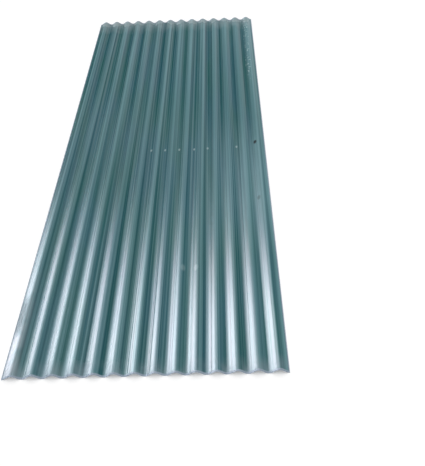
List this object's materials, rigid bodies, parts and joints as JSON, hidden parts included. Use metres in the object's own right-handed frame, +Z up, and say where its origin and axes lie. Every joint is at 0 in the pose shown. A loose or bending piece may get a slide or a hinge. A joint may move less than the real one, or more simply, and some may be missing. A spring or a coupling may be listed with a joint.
{
  "type": "corrugated plastic sheet",
  "caption": "Long rectangular sheet of glossy dark teal plastic with round-topped waves along its length, for roofs, walls and screens.",
  "frame": {"origin": "on the ground under the middle of the sheet, level with the bottoms of its troughs", "axes": "+Y along the waves, +X across the width, +Z up through the crests"},
  "size_m": [1.064, 3, 0.0195],
  "materials": {
    "tinted_plastic": "glossy tinted sheet plastic, dark teal, with a faint milky bloom"
  },
  "bodies": {
    "root": {"corrugated_sheet": "tinted_plastic"}
  },
  "joints": []
}
